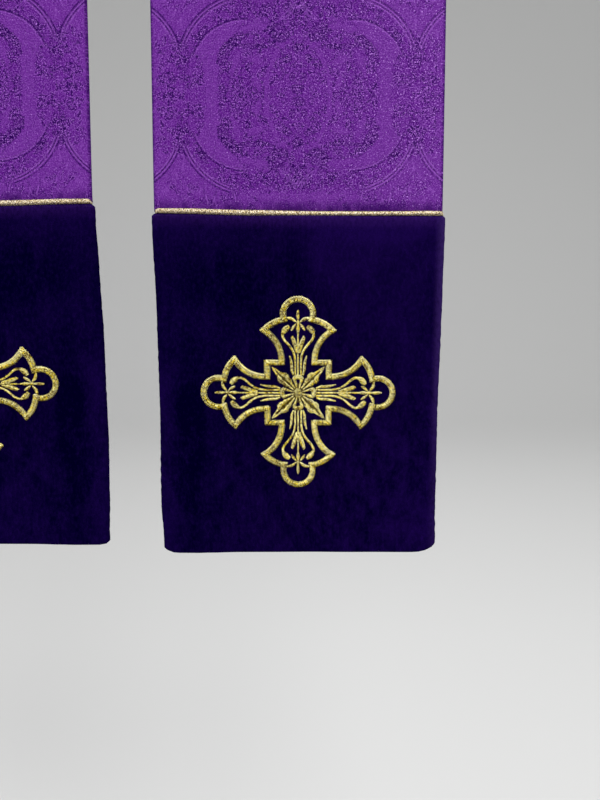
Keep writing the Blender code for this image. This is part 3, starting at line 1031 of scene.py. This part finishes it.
def violetBrocade():
    recipe = Recipe("violetBrocade")
    maths, linear, fade, noise = recipe.maths, recipe.linear, recipe.fade, recipe.noise
    allOf, anyOf, scaled = recipe.allOf, recipe.anyOf, recipe.scaled
    flat, across, along = recipe.flatCut()
    aside = maths("ABSOLUTE", across)
    half = damask["repeatAlong"] / 2
    fromRing = maths("WRAP", maths("SUBTRACT", along, damask["ringAlong"]), half, -half)
    quarter = recipe.add("CombineXYZ", {"X": aside, "Y": maths("ABSOLUTE", fromRing)})
    drawing = drawDamask(recipe, flat, aside, quarter)
    figured, rims, inArc, lines, feet, darkStrokes, lightStrokes = drawing
    # flecks of the weave
    grain = noise(scaled(flat, 1.0, 0.75), damask["fleckSize"], 2.0, 0.7, 0.6)
    twinkle = noise(flat, damask["sparkleSize"])
    weave = noise(flat, damask["weaveSize"])
    streaks = noise(scaled(flat, 0.15, 1.0), 0.6 * mm)
    strokes = fade(noise(scaled(quarter, 1.0, 0.3), 1.4 * mm, 1.0, 0.5), 0.62, 0.68)
    strokes = allOf(strokes, maths("SUBTRACT", 1.0, inArc))
    clumps = fade(noise(quarter, 4.5 * mm, 1.0, 0.5, 0.8), 0.40, 0.60, (0.25, 1.2))
    dark = allOf(fade(grain, 0.50, 0.43), linear(figured, 0.84, 0.20), clumps)
    dark = anyOf(dark, allOf(rims, fade(grain, 0.56, 0.46), 0.8))
    # the flecks are the weave's own; their extra darkness towards the inner edge is painted shade
    dark = allOf(dark, fade(across, -0.03, 0.05, (1.0, 0.80)))
    # painted highlights: sparkles of the weave, stronger towards the outer edge
    brighter = fade(across, -0.02, 0.05, (0.70, 1.45))
    paintedSparkle = allOf(fade(twinkle, 0.56, 0.66), linear(figured, 0.38, 0.32), brighter)
    woven = linear(allOf(figured, clumps), 0.68, 0.32)
    sunk = linear(dark, -0.88, 1.0)
    # painted shade at the feet of the raised lines, stronger towards the inner edge; the raised lines'
    # painted highlight is stronger towards the outer edge
    shaded = allOf(feet, fade(grain, 0.60, 0.46, (0.65, 1.0)), fade(across, -0.01, 0.03, (0.95, 0.70)))
    raised = anyOf(allOf(lines, fade(twinkle, 0.40, 0.58, (0.50, 1.0))), allOf(strokes, 0.45))
    raised = anyOf(allOf(raised, fade(across, -0.04, 0.03, (0.70, 0.95))), lightStrokes)
    # painted glints, stronger towards the outer edge
    glints = allOf(fade(twinkle, 0.66, 0.72), fade(across, -0.06, 0.05, (0.3, 1.0)))
    # painted shade at the folded edges and in the pulled cloth by the seam, and a painted contact shadow just
    # above the piping
    edge = allOf(fade(aside, *damask["edgeShade"], (0.0, 0.8)), fade(streaks, 0.30, 0.60))
    seamUp = maths("SUBTRACT", along, linear(across, -cut["seamFall"], seamLine))
    pulls = noise(scaled(flat, 1.0, 0.3), 5 * mm, 3.0, 0.6)
    shade = allOf(
        fade(seamUp, *damask["seamShade"]),
        fade(pulls, 0.34, 0.62, (0.3, 0.8)),
        fade(across, -0.035, 0.015, (0.80, 1.0)),
    )
    shade = anyOf(edge, shade, fade(seamUp, *damask["seamFoot"], (0.0, 0.45)))
    color = recipe.layered(damask["smooth"], damask, [
        (figured, "ground"),
        (fade(streaks, 0.40, 0.62, (0.0, 0.30)), "ground"),
        (fade(noise(flat, 30 * mm, 2.0, 0.5), 0.35, 0.65, (0.0, 0.16)), "ground"),
        (fade(figured, 1.05, 1.4, (0.0, 0.30)), "fleck"),
        (dark, "fleck"),
        (allOf(fade(weave, 0.50, 0.40), woven, 0.98), "fleck"),
        (allOf(fade(weave, 0.51, 0.62), woven, sunk, 0.78), "sparkle"),
        (anyOf(shaded, darkStrokes), "fleck"),
        (raised, "strand"),
        (allOf(paintedSparkle, sunk), "sparkle"),
        (glints, "glint"),
        (shade, "fleck"),
    ])
    roughness = linear(figured, 0.16, 0.44)
    height = linear(streaks, 0.35, linear(lines, 1.4, allOf(grain, linear(figured, 1.4, 0.8))))
    return recipe.finish(color, roughness, height, damask["relief"], Specular_IOR_Level=0.02)


pile = {
    "deep": (0.0003, 0.0, 0.0106),
    "raised": (0.0077, 0.0014, 0.0485),
    "rolledHighlight": (0.0207, 0.0052, 0.080),
    "rolledHighlightUp": (0.1480, 0.1556),  # where a highlight is painted on the pile rolled into the seam, from the hem (m)
    # rim: a painted sheen along the outer side edges
    "rim": (0.0266, 0.0111, 0.085),
    "paintedSheenAcross": (0.0592, 0.0642),
    "patch": 13 * mm,
    "ruffle": 4.2 * mm,
    "tuft": 1.3 * mm,
    "grain": 0.5 * mm,
    "relief": 0.35 * mm,
    "sheen": {"Sheen_Weight": 0.105, "Sheen_Roughness": 0.35, "Sheen_Tint": (0.06, 0.008, 0.5, 1)},
    "brushed": [
        # where the pile lies over: place and size on the flat cut (m), how much lighter
        ((-0.019, 0.130), (0.040, 0.030), -0.20),
        ((0.018, 0.137), (0.024, 0.022), 0.14),
        ((0.036, 0.149), (0.036, 0.009), 0.30),
        # darker round the cross: the pile pressed by the stitches, and painted shade
        ((0.0, 0.076), (0.052, 0.052), -0.10),
        ((0.058, 0.016), (0.026, 0.020), 0.18),
        ((-0.062, 0.040), (0.009, 0.070), 0.14),
        ((-0.050, 0.055), (0.011, 0.055), -0.24),
    ],
}


def darkVelvet():
    recipe = Recipe("darkVelvet")
    fade, noise, allOf = recipe.fade, recipe.noise, recipe.allOf
    flat, across, along = recipe.flatCut()
    along = recipe.linear(across, cut["seamFall"], along)
    drawn = recipe.scaled(flat, 1.0, 0.55)
    patches = noise(drawn, pile["patch"], 4.0, 0.65, 0.8)
    tufts = noise(drawn, pile["tuft"], 3.0, 0.6)
    grain = noise(flat, pile["grain"])
    ruffled = recipe.maths("SUBTRACT", noise(drawn, pile["ruffle"]), 0.5)
    brushed = []
    for place, size, lighter in pile["brushed"]:
        brushed.append(fade(recipe.away(flat, place, size), 1.0, 0.35, (0.0, lighter)))
    share = recipe.sumOf(
        fade(patches, 0.38, 0.72, (0.05, 0.34)),
        fade(tufts, 0.40, 0.75, (0.05, 0.40)),
        fade(along, 0.118, 0.150, (0.0, 0.14)),
        fade(across, -0.052, 0.045, (0.0, 0.14)),
        allOf(ruffled, fade(along, 0.130, 0.020, (0.25, 1.0)), fade(across, -0.04, 0.04, (0.5, 1.0)), 1.3),
        *brushed,
    )
    share = allOf(recipe.anyOf(share, 0.0), recipe.linear(grain, 1.3, 0.35))
    # painted highlight on the pile where it rolls into the seam, stronger towards the outer edge
    rolledHighlight = allOf(
        fade(along, *pile["rolledHighlightUp"]),
        fade(tufts, 0.30, 0.62, (0.45, 1.0)),
        fade(across, -0.062, 0.010, (0.55, 1.0)),
    )
    # painted sheen along the outer side edge, stronger higher up
    rim = allOf(
        fade(across, *pile["paintedSheenAcross"]),
        fade(along, 0.02, 0.09, (0.40, 1.0)),
        fade(tufts, 0.25, 0.6, (0.55, 1.0)),
    )
    color = recipe.layered(pile["deep"], pile, [(share, "raised"), (rolledHighlight, "rolledHighlight"), (rim, "rim")])
    height = recipe.sumOf(allOf(tufts, 1.2), grain, allOf(patches, 3.0))
    return recipe.finish(color, 0.92, height, pile["relief"], Specular_IOR_Level=0.0, **pile["sheen"])


back = {
    # the plain wrong side
    "thread": 0.6 * mm,
    "cloud": 24 * mm,
    "dark": (0.044, 0.009, 0.111),
    "light": (0.078, 0.018, 0.174),
    "dull": (0.033, 0.006, 0.09),
    "relief": 0.06 * mm,
    "sheen": {"Sheen_Weight": 0.15, "Sheen_Roughness": 0.5, "Sheen_Tint": (0.6, 0.35, 0.9, 1)},
}


def clothBack():
    recipe = Recipe("clothBack")
    flat = recipe.flatCut()[0]
    threads = recipe.noise(flat, back["thread"])
    clouds = recipe.fade(recipe.noise(flat, back["cloud"], 2.0, 0.5), 0.3, 0.7, (0.0, 0.2))
    layers = [(recipe.fade(threads, 0.3, 0.7), "light"), (clouds, "dull")]
    color = recipe.layered(back["dark"], back, layers)
    return recipe.finish(color, 0.55, threads, back["relief"], Specular_IOR_Level=0.3, **back["sheen"])


cordGold = {
    "grain": 0.7 * mm,
    "glitter": 0.5 * mm,
    "relief": 0.22 * mm,
    "dull": (0.100, 0.056, 0.018),
    "gold": (0.58, 0.45, 0.225),
    # painted glints on the bright specks, and painted shade on the cord's downward side
    "paintedSparkle": (0.82, 0.72, 0.56),
    "paintedShade": (0.055, 0.026, 0.022),
}


def goldPiping():
    recipe = Recipe("goldPiping")
    fade = recipe.fade
    place = recipe.add("TexCoord", output="Object")
    facing = recipe.add("SeparateXYZ", {"Vector": recipe.add("NewGeometry", output="Normal")})
    grain = recipe.noise(place, cordGold["grain"])
    glitter = recipe.noise(place, cordGold["glitter"], 1.0, 0.5)
    # painted shade on the cord's downward side, and painted glints on its bright specks
    paintedShade = recipe.allOf(fade(facing.node.outputs[2], 0.0, -0.55), fade(grain, 0.62, 0.36, (0.55, 1.0)))
    layers = [(fade(grain, 0.42, 0.56), "gold"), (fade(glitter, 0.52, 0.60), "paintedSparkle"), (paintedShade, "paintedShade")]
    color = recipe.layered(cordGold["dull"], cordGold, layers)
    roughness = fade(glitter, 0.4, 0.7, (0.5, 0.25))
    return recipe.finish(color, roughness, grain, cordGold["relief"], Metallic=0.2, Specular_IOR_Level=0.45)


threadGold = {
    "light": (-0.2, 0.0, 0.98),  # the way that the side with the painted highlight faces
    "speck": 0.54 * mm,
    "relief": 0.12 * mm,
    "dull": (0.17, 0.092, 0.0),
    "gold": (1.0, 0.79, 0.03),
    # painted glints on the thread's light specks
    "paintedGlint": (1.0, 0.93, 0.36),
    "darkSpeck": (0.058, 0.026, 0.0),
    "worn": (0.34, 0.22, 0.003),
    # lit and shaded: painted highlight on the sides facing the light, painted shade on the sides facing away
    "lit": (1.0, 0.94, 0.50),
    "shaded": (0.18, 0.10, 0.0),
    "foot": (0.045, 0.025, 0.001),  # painted shade where a stitch goes into the pile, deepest on sides facing away from the light; the underlay is darkened all over
}


def goldThread():
    recipe = Recipe("goldThread")
    fade = recipe.fade
    place = recipe.add("TexCoord", output="Object")
    tint = recipe.add("Attribute", output="Fac", attribute_name="threadTint")
    foot = recipe.add("Attribute", output="Fac", attribute_name="threadFoot")
    normal = recipe.add("NewGeometry", output="Normal")
    facing = {0: normal, 1: threadGold["light"]}
    upward = recipe.add("VectorMath", facing, output="Value", operation="DOT_PRODUCT")
    specks = recipe.add("TexVoronoi", {"Vector": place, "Scale": 1 / threadGold["speck"]}, output="Color")
    glitter = recipe.add("SeparateXYZ", {"Vector": specks})
    # painted shade at the stitches' feet, deepest on the sides facing away from the light
    paintedShade = recipe.allOf(fade(foot, 0.40, 0.90), fade(upward, 0.30, -0.15, (0.25, 0.97)))
    color = recipe.layered(threadGold["dull"], threadGold, [
        (fade(tint, 0.15, 0.65), "gold"),
        # painted glints on the thread's light specks
        (fade(glitter, 0.50, 0.80), "paintedGlint"),
        (fade(glitter, 0.32, 0.12, (0.0, 0.92)), "darkSpeck"),
        (fade(recipe.noise(place, 5 * mm, 2.0, 0.5), 0.45, 0.7, (0.0, 0.15)), "worn"),
        # painted highlight on the sides facing the light, painted shade on the sides facing away
        (fade(upward, 0.15, 0.55, (0.0, 0.85)), "lit"),
        (fade(upward, 0.0, -0.5, (0.0, 0.5)), "shaded"),
        # painted shade at the feet, and the underlay darkened all over
        (recipe.anyOf(paintedShade, fade(foot, 1.2, 1.8, (0.0, 0.9))), "foot"),
    ])
    roughness = fade(glitter, 0.30, 0.90, (0.55, 0.30))
    relief = threadGold["relief"]
    return recipe.finish(color, roughness, glitter, relief, Metallic=0.25, Specular_IOR_Level=0.03)


addCamera()
addStudio()
print("camera and studio set")
brocadeCloth, velvetCloth, backCloth = violetBrocade(), darkVelvet(), clothBack()
pipingThread, crossThread = goldPiping(), goldThread()
print("materials mixed")


def flatCutOf(worn, start):
    # the flat cut's width, length and area from this height up to the centre back
    step, half = cut["pathStep"], cut["brocadeWidth"] / 2
    corners, area = [], 0.0
    shares = 20
    for count in range(round(start / step), len(worn.flatLine)):
        middle, turn = worn.flatLine[count]
        for share in range(shares + 1):
            across = (share / shares * 2 - 1) * half
            if worn.point(across, count * step).x * worn.side > 0:
                corners.append(middle + Vector((math.cos(turn), -math.sin(turn))) * across)
                area += step * cut["brocadeWidth"] / (shares + 1)
    width = max(c.x for c in corners) - min(c.x for c in corners)
    return width, max(c.y for c in corners) - min(c.y for c in corners), area


for side in sides:
    band = makeBrocade(side, [brocadeCloth, backCloth])
    cord = makePiping(side, pipingThread)
    end = makeVelvet(side, [velvetCloth, backCloth])
    outline = makeCrossBand(side, crossThread)
    motifs = makeCrossFilling(side, crossThread)
    width, length, area = flatCutOf(wornSides[side], seamLine)
    print(side, "side made: brocade cut", round(width, 3), "x", round(length, 3), "m,", round(area, 4), "m2")
